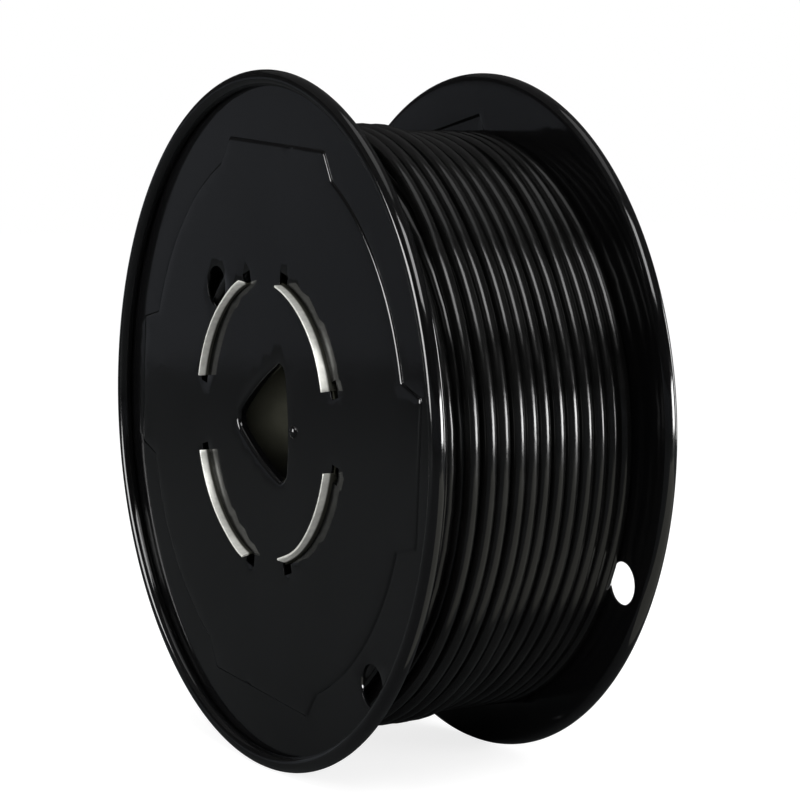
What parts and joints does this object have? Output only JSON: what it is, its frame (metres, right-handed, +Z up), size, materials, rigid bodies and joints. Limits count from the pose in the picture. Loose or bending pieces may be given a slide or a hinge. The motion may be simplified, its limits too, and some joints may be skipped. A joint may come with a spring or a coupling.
{
  "type": "wire spool",
  "caption": "Steel reel with two round stamped flanges with rolled rims, clinched to a sheet barrel, wound with glossy jacketed building wire.",
  "frame": {"origin": "on the floor, under the middle of the reel, between the two rims it stands on", "axes": "+X along the reel's axis, from the near flange to the far one; +Z up; -Y towards the viewer"},
  "size_m": [0.1016, 0.2666, 0.2667],
  "materials": {
    "flange_enamel": "glossy black enamel",
    "barrel_steel": "bare bright steel",
    "wire_jacket": "glossy black jacket",
    "conductor_copper": "bare copper strands"
  },
  "bodies": {
    "root": {"near_flange": "flange_enamel", "far_flange": "flange_enamel", "barrel": "barrel_steel", "wire_inner_layers": "wire_jacket", "wire_outer_layer": "wire_jacket", "wire_start_tail": "wire_jacket", "start_end_strands": "conductor_copper", "finish_end_strands": "conductor_copper"}
  },
  "joints": []
}
